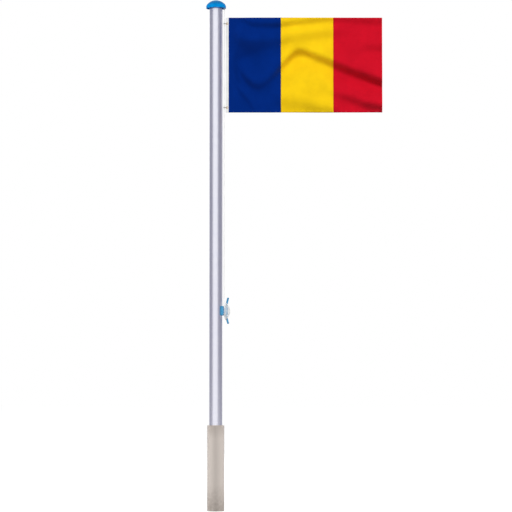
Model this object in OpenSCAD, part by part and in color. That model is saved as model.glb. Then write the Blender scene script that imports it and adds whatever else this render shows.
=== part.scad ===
// Flagpole in a ground sleeve, with a tricolour flag on an outside halyard.
// Millimetres. Z is up, X points from the pole to the flag.
// The origin is the middle of the ground sleeve's flat foot.

/* [Pole] */
// Height from the sleeve's foot to the top of the cap
overall_height = 4806; // [4400:1:5600]
// Outside diameter of the tube
pole_d = 123; // [110:1:130]
// Wall of the tube
pole_wall = 3; // [2:0.5:5]
// Length of the spigot that plugs into the next section
spigot_length = 120; // [60:5:200]
// Gap between a spigot and the tube around it
spigot_fit = 0.3; // [0.2:0.05:0.6]
// Chamfer on the ends of the sections, which leaves a hairline groove
seam_chamfer = 0.8; // [0.3:0.1:1.5]

/* [Ground sleeve] */
// Height of the sleeve with its collar
sleeve_height = 800; // [600:5:1000]
// Wall of the sleeve
sleeve_wall = 6.2; // [4:0.2:10]
// Gap between the pole and the inside of the sleeve
sleeve_gap = 12.3; // [10:0.1:20]
// Thickness of the closed foot
sleeve_floor = 10; // [6:1:20]
// Height of the ring that centres the pole on the foot
seat_height = 25; // [10:1:60]
// Diameter of the drain holes in the foot
drain_d = 10; // [6:1:16]
// Thickness of the collar's flange
collar_flange = 10; // [8:0.5:16]
// How far the collar reaches down into the sleeve
collar_depth = 40; // [20:1:80]
// Rounding of the collar's outer top edge
collar_round = 6; // [2:0.5:7]
// Gap around the collar's lips
collar_fit = 0.4; // [0.3:0.05:0.8]

/* [Top cap] */
// How far the cap reaches out past the pole
cap_overhang = 32.5; // [31:0.5:40]
// Height of the dome above the skirt
cap_rise = 65; // [54:0.5:70]
// Height of the upright skirt
cap_skirt = 13; // [10:0.5:20]
// Radius of the dome's shoulder
cap_shoulder = 42; // [28:0.5:46]
// Wall of the cap
cap_wall = 4; // [3:0.25:5]
// Length of the plug inside the pole
plug_length = 50; // [30:1:80]
// How far the pole's end reaches up into the cap
pole_seat = 10; // [6:0.5:16]

/* [Halyard and sheave] */
// Diameter of the rope
halyard_d = 7; // [5:0.25:8]
// Distance from the pole's surface to the rope's axis
halyard_gap = 16.5; // [15.5:0.25:17.5]
// Half the distance between the two falls
sheave_pitch = 13; // [12.5:0.25:14]
// Width of the sheave
sheave_width = 11; // [10:0.5:12]
// Lip of the sheave outside the rope's axis
sheave_lip = 2.5; // [1.5:0.25:3.5]
// Height of the sheave's axis above the cap's rim
sheave_rise = 9; // [7:0.5:10]
// Diameter of the sheave's pin
sheave_pin_d = 6; // [4:0.5:8]
// Thickness of the cheeks that hold the pin
cheek_t = 3; // [2:0.25:3.5]

/* [Cleat] */
// Height of the cleat's middle above the sleeve's foot
cleat_z = 1871; // [1400:1:2200]
// Length of the cleat from tip to tip
cleat_length = 248; // [230:1:270]
// Radius of the horn bar
horn_r = 9; // [7:0.25:9]
// Distance from the pole's surface to the middle of the horn bar
horn_reach = 36; // [36:0.5:40]
// How far the horn tips lean away from the pole
horn_lean = 17; // [12:0.5:22]
// Height of the saddle on the pole
saddle_height = 89; // [70:1:95]
// Thickness of the saddle
saddle_t = 12; // [8:0.5:12]
// Half the angle that the saddle takes around the pole
saddle_angle = 47; // [40:1:60]
// Height of the stem between saddle and horn bar
stem_height = 50; // [36:1:54]
// Width of the stem
stem_width = 18; // [14:0.5:19]

/* [Flag] */
// Height of the flag
flag_height = 900; // [800:5:1000]
// Distance from the cap's rim down to the flag's top edge
flag_drop = 89; // [80:1:160]
// Width of the white heading
heading_width = 27; // [26:0.5:45]
// Width of the blue panel at the hoist
blue_width = 492.7; // [400:0.1:560]
// Width of the yellow panel
yellow_width = 495.2; // [400:0.1:560]
// Width of the red panel at the fly
red_width = 461; // [400:0.1:560]
// Thickness of the heading and the cloth
cloth_t = 2; // [1.5:0.25:2.5]
// Height of the ripples in the cloth
ripple_height = 8; // [4:0.5:16]
// Length of one ripple
ripple_length = 480; // [360:5:700]
// Depth of the folds in the cloth, as a share
fold_share = 1; // [0.5:0.05:1.15]

/* [Snap hooks and grommets] */
// Distance from the flag's top edge to the upper grommet
upper_grommet_drop = 57; // [40:1:80]
// Distance from the flag's bottom edge to the lower grommet
lower_grommet_rise = 47; // [40:1:80]
// Radius of the hook's wire
wire_r = 1.8; // [1.4:0.1:2]
// Gap between the rope and the hook's eye
eye_gap = 2; // [1:0.1:2.5]
// Length of the neck between the eye and the bow
neck_length = 4.5; // [4:0.25:6]
// Radius of the bow, on the wire's middle
bow_r = 5.9; // [5.9:0.1:6.4]
// Radius of the grommet's hole
grommet_hole_r = 5; // [4.5:0.1:5.5]
// Radius of the grommet's flange
grommet_flange_r = 10.5; // [8.5:0.1:10.6]
// Thickness of the grommet's flange
grommet_flange_t = 1.2; // [0.8:0.1:1.2]
// Height of each rope binding beside a hook's eye
binding_height = 12; // [6:0.5:16]
// Thickness of the rope binding around the rope
binding_t = 3; // [2:0.25:4]

/* [Hidden] */
$fn = 96;
section_count = 4;
pole_r = pole_d / 2;
pole_in_r = pole_r - pole_wall;
spigot_r = pole_in_r - spigot_fit;

sleeve_in_r = pole_r + sleeve_gap;
sleeve_r = sleeve_in_r + sleeve_wall;
sleeve_top = sleeve_height - collar_flange;
seat_fit = 0.5;
seat_wall = 5;
drain_count = 3;
collar_wall = 3;
round_steps = 8;

cap_r = pole_r + cap_overhang;
rim_z = overall_height - cap_rise - cap_skirt;
pole_top = rim_z + pole_seat;
section_length = (pole_top - sleeve_floor) / section_count;
plug_wall = 4;
cap_web_t = 1.5;
rim_round = 2;
// The dome is a shoulder arc and a flatter crown arc that meet without a corner
shoulder_x = cap_r - cap_shoulder;
crown_drop = (pow(shoulder_x, 2) - pow(cap_rise - cap_shoulder, 2)) / (2 * (cap_rise - cap_shoulder));
crown_r = cap_rise + crown_drop;
meet_angle = atan2(crown_drop, shoulder_x);
shoulder_steps = 10;
crown_steps = 14;

halyard_r = halyard_d / 2;
halyard_x = pole_r + halyard_gap;
rope_fit = 0.3;
sheave_z = rim_z + sheave_rise;
sheave_r = sheave_pitch + sheave_lip;
pin_r = sheave_pin_d / 2;
pin_fit = 0.3;
cheek_gap = 0.6;
cheek_half_y = 14;
cheek_start = 1;

saddle_fit = 0.3;
saddle_r = pole_r + saddle_fit + saddle_t;
saddle_corner = 14;
horn_x = pole_r + horn_reach;
tip_r = horn_r + 0.6;
tip_z = cleat_length / 2 - tip_r;
horn_bend_r = (pow(tip_z, 2) + pow(horn_lean, 2)) / (2 * horn_lean);
horn_half_angle = asin(tip_z / horn_bend_r);

flag_top = rim_z - flag_drop;
flag_bottom = flag_top - flag_height;
flag_y = -sheave_pitch;
half_cloth = cloth_t / 2;
ripple_ramp = 120;
cloth_step_x = 40;
cloth_rows = 36;

hook_fit = 0.3;
bow_in_r = bow_r - wire_r;
eye_r = halyard_r + eye_gap + wire_r;
neck_r = wire_r + 1.2;
bow_x = halyard_x + eye_r + neck_length + bow_r;
heading_x0 = bow_x - bow_in_r + hook_fit;
heading_x1 = heading_x0 + heading_width;
yellow_x0 = heading_x1 + blue_width;
red_x0 = yellow_x0 + yellow_width;
fly_x = red_x0 + red_width;
half_stack = half_cloth + grommet_flange_t;
hole_x0 = bow_x + sqrt(pow(bow_in_r, 2) - pow(half_stack, 2)) - hook_fit;
grommet_x = hole_x0 + grommet_hole_r;
grommet_barrel_t = 1;
heading_hole_fit = 0.3;
upper_hook_z = flag_top - upper_grommet_drop;
lower_hook_z = flag_bottom + lower_grommet_rise;
gate_start = 180 + atan((neck_r + hook_fit) / bow_r);
gate_end = 287;
gate_gap = 3;
gate_r = wire_r - 0.3;
binding_gap = 0.4;
binding_edge = 1.5;

// The rope on the cleat: a lead from each fall, round turns beside the stem, then figure eights
turn_sides = 8;
rope_clear = 1.2;
round_count = 2;
round_x = horn_x - 7.8;
round_step = halyard_d + 1.1;
round_y = stem_width / 2 + halyard_r + 0.7;
round_out = 0.6;
row_first = 46;
row_step = halyard_d + 1.5;
eight_count = 2;
eight_step = 12;
eight_spread = halyard_d + 2.4;
eight_side = horn_r + halyard_r + 10.3;
turn_front_x = horn_x + horn_r + halyard_r + 2;
turn_stack = halyard_d + 0.6;
lead_top = 96;

pvc = [0.78, 0.74, 0.71];
alloy = [0.80, 0.80, 0.84];
cap_blue = [0.05, 0.50, 0.80];
white_rope = [0.93, 0.94, 0.93];
steel = [0.62, 0.64, 0.65];
brass = [0.80, 0.66, 0.36];

// Ground sleeve: a closed pipe with a centring ring on its floor and drain holes
module ground_sleeve() {
    seat_r = pole_r + seat_fit;
    color(pvc)
    difference() {
        rotate_extrude()
            polygon([[0, 0], [sleeve_r, 0], [sleeve_r, sleeve_top], [sleeve_in_r, sleeve_top],
                     [sleeve_in_r, sleeve_floor], [seat_r + seat_wall, sleeve_floor],
                     [seat_r + seat_wall, sleeve_floor + seat_height],
                     [seat_r, sleeve_floor + seat_height], [seat_r, sleeve_floor],
                     [0, sleeve_floor]]);
        for (i = [0 : drain_count - 1])
            rotate([0, 0, i * 360 / drain_count])
                translate([pole_in_r / 2, 0, -1])
                    cylinder(d = drain_d, h = sleeve_floor + 2);
    }
}

// Collar: closes the gap between sleeve and pole and holds the pole upright
module sleeve_collar() {
    bore_r = pole_r + collar_fit;
    lip_r = sleeve_in_r - collar_fit;
    low = sleeve_top - collar_depth;
    edge = [for (i = [0 : round_steps])
        [sleeve_r - collar_round + collar_round * cos(90 * i / round_steps),
         sleeve_height - collar_round + collar_round * sin(90 * i / round_steps)]];
    color(pvc)
    rotate_extrude()
        polygon(concat(
            [[bore_r, low], [bore_r + collar_wall, low], [bore_r + collar_wall, sleeve_top],
             [lip_r - collar_wall, sleeve_top], [lip_r - collar_wall, low], [lip_r, low],
             [lip_r, sleeve_top], [sleeve_r, sleeve_top]],
            edge,
            [[bore_r, sleeve_height]]));
}

// One plug-together section of the pole, with its spigot at the top
module spigot_section(index) {
    z0 = sleeve_floor + index * section_length;
    z1 = z0 + section_length;
    color(alloy)
    rotate_extrude()
        polygon([[pole_in_r, z0], [pole_r - seam_chamfer, z0], [pole_r, z0 + seam_chamfer],
                 [pole_r, z1 - seam_chamfer], [pole_r - seam_chamfer, z1], [spigot_r, z1],
                 [spigot_r, z1 + spigot_length - pole_wall],
                 [spigot_r - pole_wall / 2, z1 + spigot_length],
                 [spigot_r - pole_wall, z1 + spigot_length],
                 [spigot_r - pole_wall, z1 - spigot_length / 2],
                 [pole_in_r, z1 - spigot_length / 2]]);
}

module pole_section_1() spigot_section(0);
module pole_section_2() spigot_section(1);
module pole_section_3() spigot_section(2);

// Top section: plain at its upper end, which stands in the cap
module pole_section_4() {
    z0 = sleeve_floor + (section_count - 1) * section_length;
    color(alloy)
    rotate_extrude()
        polygon([[pole_in_r, z0], [pole_r - seam_chamfer, z0], [pole_r, z0 + seam_chamfer],
                 [pole_r, pole_top], [pole_in_r, pole_top]]);
}

// Points of the dome from the skirt to the crown, set in by a wall
function dome_points(inset) = concat(
    [for (i = [0 : shoulder_steps]) let (a = meet_angle * i / shoulder_steps)
        [shoulder_x + (cap_shoulder - inset) * cos(a), (cap_shoulder - inset) * sin(a)]],
    [for (i = [1 : crown_steps]) let (a = meet_angle + (90 - meet_angle) * i / crown_steps)
        [max(0, (crown_r - inset) * cos(a)), -crown_drop + (crown_r - inset) * sin(a)]]);

module dome_solid(inset, low) {
    translate([0, 0, rim_z + cap_skirt])
        rotate_extrude()
            polygon(concat([[0, low], [cap_r - inset - rim_round, low],
                            [cap_r - inset, low + rim_round]],
                           dome_points(inset)));
}

// Top cap: a hollow dome with a plug in the pole and two cheeks for the sheave
module top_cap() {
    plug_r = pole_in_r - spigot_fit;
    web_r = pole_r + cap_web_t;
    cheek_x = sheave_width / 2 + cheek_gap;
    cheek_tall = cap_rise + cap_skirt;
    color(cap_blue)
    difference() {
        union() {
            difference() {
                dome_solid(0, -cap_skirt);
                dome_solid(cap_wall, -cap_skirt - rim_round - 1);
            }
            intersection() {
                dome_solid(0, -cap_skirt);
                translate([0, 0, pole_top])
                    difference() {
                        cylinder(r = web_r, h = cap_rise + cap_skirt);
                        translate([0, 0, -1])
                            cylinder(r = plug_r - plug_wall, h = cap_rise + cap_skirt + 2);
                    }
            }
            translate([0, 0, rim_z - plug_length])
                difference() {
                    cylinder(r = plug_r, h = plug_length + pole_seat + cap_web_t);
                    translate([0, 0, -1])
                        cylinder(r = plug_r - plug_wall, h = plug_length + pole_seat + cap_web_t + 2);
                }
            intersection() {
                dome_solid(cap_wall / 2, -cap_skirt - rim_round - 1);
                for (side = [-1, 1])
                    translate([halyard_x + side * (cheek_x + cheek_t / 2) - cheek_t / 2,
                               -cheek_half_y, rim_z + cheek_start])
                        cube([cheek_t, 2 * cheek_half_y, cheek_tall]);
            }
        }
        translate([halyard_x - cheek_x - cheek_t - pin_fit, 0, sheave_z])
            rotate([0, 90, 0])
                cylinder(r = pin_r + pin_fit, h = 2 * (cheek_x + cheek_t + pin_fit));
    }
}

// Grooved sheave between the cheeks
module halyard_sheave() {
    groove_r = halyard_r + rope_fit;
    color([0.9, 0.9, 0.88])
    translate([halyard_x, 0, sheave_z])
        rotate([0, 90, 0])
            difference() {
                cylinder(r = sheave_r, h = sheave_width, center = true);
                rotate_extrude()
                    translate([sheave_pitch, 0])
                        circle(r = groove_r);
                rotate_extrude()
                    translate([sheave_pitch, -groove_r])
                        square([sheave_lip + 1, 2 * groove_r]);
                cylinder(r = pin_r + pin_fit, h = sheave_width + 2, center = true);
            }
}

// Pin of the sheave, flush with the outside of the cheeks
module sheave_pin() {
    pin_half = sheave_width / 2 + cheek_gap + cheek_t;
    color(steel)
    translate([halyard_x - pin_half, 0, sheave_z])
        rotate([0, 90, 0])
            cylinder(r = pin_r, h = 2 * pin_half);
}

// Halyard: the two taut falls and the bend over the sheave
module halyard() {
    fall_low = cleat_z + lead_top;
    color(white_rope)
    union() {
        for (side = [-1, 1])
            translate([halyard_x, side * sheave_pitch, fall_low])
                cylinder(r = halyard_r, h = sheave_z - fall_low);
        translate([halyard_x, 0, sheave_z])
            rotate([90, 0, 90])
                rotate_extrude(angle = 180)
                    translate([sheave_pitch, 0])
                        circle(r = halyard_r);
    }
}

// Points of the rope on the cleat: x and y as on the pole, z from the cleat's middle
function behind_x(z) =
    horn_x + horn_bend_r - sqrt(pow(horn_bend_r, 2) - z * z) - horn_r - halyard_r - rope_clear;
function row(k) = row_first + row_step * k;
function round_half(k) = 35 + 9 * k;
function round_side(k) = round_y + round_out * k;
// A pass from the cleat's side, at s = 0, to behind a horn, at s = 1
function pass_point(k, reach, side, up, s) =
    let (x = round_x + round_step * k, z = round_half(k))
    [x + (behind_x(reach) - x) * pow(sin(90 * s), 1 + 0.2 * k),
     side * round_side(k) * cos(90 * s),
     up * (z + (reach - z) * sin(90 * s))];
pass_steps = [0.15, 0.3, 0.45, 0.6, 0.75, 0.88];
function pass_in(k, reach, side, up) = [for (s = pass_steps) pass_point(k, reach, side, up, s)];
function pass_out(k, reach, side, up) =
    [for (i = [1 : len(pass_steps)]) pass_point(k, reach, side, up, pass_steps[len(pass_steps) - i])];
function beside(k, side, up) =
    [for (i = [0 : 4]) [round_x + round_step * k, side * round_side(k), up * round_half(k) * (i / 2 - 1)]];
function round_turn(k) = concat(
    [[behind_x(row(k)), 0, -row(k)]], pass_out(k, row(k), 1, -1), beside(k, 1, 1),
    pass_in(k, row(k), 1, 1), [[behind_x(row(k)), 0, row(k)]], pass_out(k, row(k), -1, 1),
    beside(k, -1, -1), pass_in(k, row(k + 1), -1, -1));
function eight_point(a) =
    let (reach = row(round_count) + eight_spread * (a + 90) / 360, back = behind_x(reach))
    [back + (turn_front_x + turn_stack * a / 180 - back) * pow(cos(a), 2),
     -eight_side * sin(2 * a), reach * sin(a)];
eight_end = 360 * eight_count - 90;
last_row = row(round_count) + eight_spread * eight_count;
last_x = behind_x(last_row);
lead_x = halyard_x;
lead_y = sheave_pitch;
lead_in = [
    [lead_x, -lead_y, lead_top], [lead_x, -lead_y, 80], [lead_x + 0.2, -lead_y - 0.3, 60],
    [lead_x + 0.6, -lead_y - 1, 40], [lead_x + 1, -lead_y - 2, 20],
    [lead_x + 1.2, -lead_y - 2.3, 8], [lead_x + 1.5, -lead_y - 2.3, 37 - row_first],
    [lead_x + 1.8, -lead_y - 1.8, 26 - row_first], [lead_x + 2.2, -lead_y, 17 - row_first],
    [lead_x + 3.3, 3 - lead_y, 10 - row_first], [lead_x + 5.4, 7.7 - lead_y, 3.5 - row_first]];
lead_out = [
    [last_x - 2, 6, 1 - last_row], [last_x - 6, 11, 6 - last_row],
    [last_x - 9.1, 14.3, 15 - last_row], [lead_x + 4.5, lead_y + 2.6, 29 - last_row],
    [lead_x + 2.5, lead_y + 2.6, 46 - last_row], [lead_x + 2, lead_y + 2.5, 66 - last_row],
    [lead_x + 1.3, lead_y + 2.3, 8], [lead_x + 1, lead_y + 2, 20],
    [lead_x + 0.6, lead_y + 1, 40], [lead_x + 0.2, lead_y + 0.3, 60],
    [lead_x, lead_y, 80], [lead_x, lead_y, lead_top]];
turn_path = concat(
    lead_in, [for (k = [0 : round_count - 1]) each round_turn(k)],
    [for (a = [-90 : eight_step : eight_end]) eight_point(a)], lead_out);

function unit(v) = v / norm(v);
function tangent(path, i) =
    unit(path[min(i + 1, len(path) - 1)] - path[max(i - 1, 0)]);
// The cross axis never lies along the rope, because the rope never runs straight out from the pole
function rope_ring(path, i) =
    let (t = tangent(path, i), n = unit(cross(t, [1, 0, 0])), b = cross(t, n))
    [for (k = [0 : turn_sides - 1]) let (a = 360 * k / turn_sides)
        path[i] + halyard_r * (cos(a) * n + sin(a) * b)];

// Rope turns: the halyard made fast with round turns and figure eights on both horns
module halyard_turns() {
    rings = len(turn_path);
    points = [for (i = [0 : rings - 1]) each rope_ring(turn_path, i)];
    sides = [for (i = [0 : rings - 2], k = [0 : turn_sides - 1])
        let (j = (k + 1) % turn_sides, p = i * turn_sides, q = p + turn_sides)
        each [[p + k, p + j, q + j], [p + k, q + j, q + k]]];
    first = [[for (k = [0 : turn_sides - 1]) turn_sides - 1 - k]];
    last = [[for (k = [0 : turn_sides - 1]) (rings - 1) * turn_sides + k]];
    color(white_rope)
    translate([0, 0, cleat_z])
        polyhedron(points = points, faces = concat(sides, first, last));
}

// Outline of a rounded plate or column, from the middle
module rounded_plate(width, height, corner) {
    corners = [[1, 1, 0], [-1, 1, 90], [-1, -1, 180], [1, -1, 270]];
    polygon([for (c = corners, i = [0 : round_steps]) let (a = c[2] + 90 * i / round_steps)
        [c[0] * (width / 2 - corner) + corner * cos(a),
         c[1] * (height / 2 - corner) + corner * sin(a)]]);
}

// Cleat: saddle on the pole, stem and a bowed horn bar, cast in one
module cleat() {
    stem_x0 = saddle_r - saddle_t / 2;
    bend_x = horn_x + horn_bend_r;
    color(cap_blue)
    translate([0, 0, cleat_z])
    union() {
        intersection() {
            rotate([0, 0, -saddle_angle])
                translate([0, 0, -saddle_height / 2])
                    rotate_extrude(angle = 2 * saddle_angle)
                        translate([pole_r + saddle_fit, 0])
                            square([saddle_t, saddle_height]);
            rotate([90, 0, 90])
                linear_extrude(height = saddle_r + 1)
                    rounded_plate(2 * saddle_r * sin(saddle_angle) - 4, saddle_height, saddle_corner);
        }
        translate([stem_x0, 0, 0])
            rotate([90, 0, 90])
                linear_extrude(height = horn_x - stem_x0)
                    rounded_plate(stem_width, stem_height, stem_width / 2 - 1);
        translate([bend_x, 0, 0])
            rotate([90, 0, 0])
                rotate([0, 0, 180 - horn_half_angle])
                    rotate_extrude(angle = 2 * horn_half_angle)
                        translate([horn_bend_r, 0])
                            circle(r = horn_r);
        for (side = [-1, 1])
            translate([bend_x - horn_bend_r * cos(horn_half_angle), 0, side * tip_z])
                sphere(r = tip_r);
    }
}

// Rope bindings above and below a hook's eye, which carry the hook on the halyard
module bindings(z) {
    bore = halyard_r + rope_fit;
    outer = bore + binding_t;
    start = wire_r + binding_gap;
    color(white_rope)
    translate([halyard_x, flag_y, z])
        for (side = [0, 1])
            mirror([0, 0, side])
                rotate_extrude()
                    polygon([[bore, start], [outer - binding_edge, start], [outer, start + binding_edge],
                             [outer, start + binding_height - binding_edge],
                             [outer - binding_edge, start + binding_height],
                             [bore, start + binding_height]]);
}

module upper_bindings() bindings(upper_hook_z);
module lower_bindings() bindings(lower_hook_z);

// Snap hook: an eye round the rope, a neck and an open bow through the grommet
module hook(z) {
    color(steel)
    union() {
        translate([halyard_x, flag_y, z])
            rotate_extrude()
                translate([eye_r, 0])
                    circle(r = wire_r, $fn = 48);
        translate([halyard_x + eye_r, flag_y, z])
            rotate([0, 90, 0])
                cylinder(r = neck_r, h = neck_length, $fn = 48);
        translate([bow_x, flag_y, z])
            rotate([0, 0, gate_end + gate_gap - 360])
                rotate_extrude(angle = 360 - (gate_end - gate_start) - 2 * gate_gap)
                    translate([bow_r, 0])
                        circle(r = wire_r, $fn = 48);
    }
}

// Spring gate that closes the bow
module hook_gate(z) {
    color(steel)
    translate([bow_x, flag_y, z])
        rotate([0, 0, gate_start])
            rotate_extrude(angle = gate_end - gate_start)
                translate([bow_r, 0])
                    circle(r = gate_r, $fn = 48);
}

module upper_hook() hook(upper_hook_z);
module lower_hook() hook(lower_hook_z);
module upper_hook_gate() hook_gate(upper_hook_z);
module lower_hook_gate() hook_gate(lower_hook_z);

// Brass grommet clamped through the heading
module grommet(z) {
    barrel_r = grommet_hole_r + grommet_barrel_t;
    color(brass)
    translate([grommet_x, flag_y, z])
        rotate([90, 0, 0])
            rotate_extrude()
                polygon([[grommet_hole_r, -half_stack], [grommet_flange_r, -half_stack],
                         [grommet_flange_r, -half_cloth], [barrel_r, -half_cloth],
                         [barrel_r, half_cloth], [grommet_flange_r, half_cloth],
                         [grommet_flange_r, half_stack], [grommet_hole_r, half_stack]]);
}

module upper_grommet() grommet(upper_hook_z);
module lower_grommet() grommet(lower_hook_z);

// White heading at the hoist, with a hole for each grommet
module flag_heading() {
    color([0.95, 0.95, 0.94])
    difference() {
        translate([heading_x0, flag_y - half_cloth, flag_bottom])
            cube([heading_width, cloth_t, flag_height]);
        for (z = [upper_hook_z, lower_hook_z])
            translate([grommet_x, flag_y, z])
                rotate([90, 0, 0])
                    cylinder(r = grommet_hole_r + grommet_barrel_t + heading_hole_fit,
                             h = cloth_t + 2, center = true);
    }
}

// Folds: depth, half width of the turn, reach, and the line where the cloth turns back as it goes
// down. A point of a line holds shares of the flag's length, of its height and of the fold's depth.
folds = [
    [50, 24, 62, [[0.075, 0.000, 0.3], [0.114, 0.027, 0.8], [0.162, 0.066, 1.0], [0.241, 0.079, 1.0],
                  [0.344, 0.079, 1.0], [0.416, 0.062, 1.0], [0.520, 0.046, 1.0], [0.678, 0.020, 0.7],
                  [0.758, 0.020, 0.4], [0.846, 0.039, 0.0]]],
    [75, 55, 120, [[0.034, 0.250, 0.3], [0.082, 0.263, 1.0], [0.162, 0.283, 1.0], [0.241, 0.277, 0.9],
                   [0.344, 0.237, 0.6], [0.448, 0.230, 0.5], [0.559, 0.193, 0.45], [0.678, 0.171, 0.35],
                   [0.779, 0.167, 0.0]]],
    [94, 34, 150, [[0.050, 0.494, 0.2], [0.082, 0.560, 0.5], [0.138, 0.666, 0.75], [0.194, 0.724, 0.85],
                   [0.241, 0.706, 0.85], [0.281, 0.652, 0.9], [0.344, 0.534, 1.0], [0.400, 0.434, 1.0],
                   [0.448, 0.366, 1.0], [0.480, 0.356, 1.0], [0.512, 0.362, 1.0], [0.599, 0.422, 1.0],
                   [0.678, 0.481, 1.0], [0.758, 0.540, 1.0], [0.837, 0.587, 1.0], [0.917, 0.633, 1.0],
                   [1.003, 0.683, 1.0]]],
    [80, 50, 120, [[0.285, 0.883, 0.0], [0.352, 0.890, 0.5], [0.448, 0.903, 0.7], [0.520, 0.929, 0.85],
                   [0.599, 0.956, 0.9], [0.678, 0.971, 0.9], [0.745, 0.989, 0.0]]],
    [76, 38, 110, [[0.501, 0.700, 0.0], [0.543, 0.719, 0.15], [0.623, 0.758, 0.35], [0.702, 0.824, 0.5],
                   [0.782, 0.857, 0.65], [0.861, 0.903, 0.85], [0.917, 0.936, 1.0], [1.003, 0.967, 1.0]]],
    [20, 18, 60, [[0.026, 0.613, 0.6], [0.082, 0.758, 1.0], [0.146, 0.890, 1.0], [0.196, 1.006, 0.3]]]];
fold_drops = [for (f = folds) [for (p = f[3]) [p[0], p[1]]]];
fold_depths = [for (f = folds) [for (p = f[3]) [p[0], p[2]]]];

function tanh(x) = let (e = exp(2 * max(-8, min(8, x)))) (e - 1) / (e + 1);
function total(list, i = 0) = i < len(list) ? list[i] + total(list, i + 1) : 0;
// How far the cloth stands out towards the viewer, at x and a drop v below the top edge
function cloth_rise(x, v) =
    let (u = (x - heading_x0) / (fly_x - heading_x0),
         near = min(1, max(0, (x - heading_x1) / ripple_ramp)),
         turns = [for (i = [0 : len(folds) - 1])
             let (t = v - flag_height * lookup(u, fold_drops[i]), share = lookup(u, fold_depths[i]))
             -0.5 * folds[i][0] * share * tanh(t / folds[i][1]) * exp(-pow(t / folds[i][2], 2))])
    near * near * (3 - 2 * near)
        * (fold_share * total(turns) - ripple_height * sin(360 * (x - heading_x1) / ripple_length));

// One panel of the flag between two upright seams: front and back of the cloth and its edges
module panel(x0, width) {
    columns = ceil(width / cloth_step_x);
    side = cloth_rows + 1;
    points = [for (face = [-1, 1], i = [0 : columns], j = [0 : cloth_rows])
        let (x = x0 + width * i / columns, v = flag_height * j / cloth_rows)
        [x, flag_y - cloth_rise(x, v) + face * half_cloth, flag_top - v]];
    back = (columns + 1) * side;
    cells = [for (i = [0 : columns - 1], j = [0 : cloth_rows - 1])
        let (a = i * side + j, b = a + side)
        each [[a, b, a + 1], [b, b + 1, a + 1],
              [back + a, back + a + 1, back + b], [back + b, back + a + 1, back + b + 1]]];
    ends = [for (j = [0 : cloth_rows - 1]) let (k = columns * side + j)
        each [[j, j + 1, back + j], [j + 1, back + j + 1, back + j],
              [k, back + k, k + 1], [k + 1, back + k, back + k + 1]]];
    edges = [for (i = [0 : columns - 1]) let (a = i * side, b = a + side, c = a + cloth_rows, d = c + side)
        each [[a, back + a, b], [b, back + a, back + b],
              [c, d, back + c], [d, back + d, back + c]]];
    polyhedron(points = points, faces = concat(cells, ends, edges));
}

module flag_blue_panel() color([0.0, 0.16, 0.48]) panel(heading_x1, blue_width);
module flag_yellow_panel() color([0.98, 0.82, 0.09]) panel(yellow_x0, yellow_width);
module flag_red_panel() color([0.81, 0.07, 0.15]) panel(red_x0, red_width);

ground_sleeve();
sleeve_collar();
pole_section_1();
pole_section_2();
pole_section_3();
pole_section_4();
top_cap();
halyard_sheave();
sheave_pin();
halyard();
halyard_turns();
cleat();
upper_bindings();
lower_bindings();
upper_hook();
upper_hook_gate();
lower_hook();
lower_hook_gate();
upper_grommet();
lower_grommet();
flag_heading();
flag_blue_panel();
flag_yellow_panel();
flag_red_panel();
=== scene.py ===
"""Looks of a flagpole in a ground sleeve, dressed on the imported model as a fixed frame."""
import math

import bmesh
import bpy
from bpy.props import FloatProperty, FloatVectorProperty, IntProperty, PointerProperty
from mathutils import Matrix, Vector
from mathutils.geometry import delaunay_2d_cdt


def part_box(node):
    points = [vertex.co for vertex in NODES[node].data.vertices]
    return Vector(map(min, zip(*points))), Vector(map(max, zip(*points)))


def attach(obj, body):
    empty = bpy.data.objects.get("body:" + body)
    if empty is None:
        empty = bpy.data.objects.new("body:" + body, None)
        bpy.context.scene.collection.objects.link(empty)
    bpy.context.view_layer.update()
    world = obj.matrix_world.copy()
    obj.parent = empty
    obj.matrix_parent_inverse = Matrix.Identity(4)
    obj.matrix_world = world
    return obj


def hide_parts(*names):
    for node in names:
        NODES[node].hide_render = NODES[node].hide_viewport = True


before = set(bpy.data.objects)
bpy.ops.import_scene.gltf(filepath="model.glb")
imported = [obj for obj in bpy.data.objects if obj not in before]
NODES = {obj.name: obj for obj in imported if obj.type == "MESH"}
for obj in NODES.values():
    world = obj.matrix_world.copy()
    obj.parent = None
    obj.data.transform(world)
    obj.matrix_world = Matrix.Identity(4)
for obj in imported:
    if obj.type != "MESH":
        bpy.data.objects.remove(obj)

bl_info = {
    "name": "Flagpole in a ground sleeve",
    "version": (1, 0, 0),
    "blender": (4, 5, 0),
    "location": "3D View > Sidebar > Flagpole",
    "description": "Rope, bindings, flag cloth, fasteners and finishes of a flagpole",
    "category": "Object",
}

MM = 0.001


# --- Colours and nodes ---------------------------------------------------------------------


def linear(code):
    """Linear colour with alpha from an sRGB hex code such as "#0b84cf"."""
    steps = [int(code[i:i + 2], 16) / 255 for i in (1, 3, 5)]
    return [s / 12.92 if s <= 0.04045 else ((s + 0.055) / 1.055) ** 2.4 for s in steps] + [1.0]


def shaded(colour, factor):
    """The colour made lighter or darker by a factor."""
    return [min(1.0, c * factor) for c in colour[:3]] + [1.0]


def feed(tree, node, inputs):
    """Sets or links a node's inputs by name or number."""
    for key, value in inputs.items():
        if isinstance(value, bpy.types.NodeSocket):
            tree.links.new(value, node.inputs[key])
        else:
            node.inputs[key].default_value = value


def add(tree, kind, inputs=None, stops=(), **settings):
    """Adds a node with its settings, its colour stops and its inputs."""
    node = tree.nodes.new(kind)
    for key, value in settings.items():
        setattr(node, key, value)
    for i, (position, colour) in enumerate(stops):
        node.color_ramp.elements[i].position = position
        node.color_ramp.elements[i].color = colour
    feed(tree, node, inputs or {})
    return node


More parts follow.
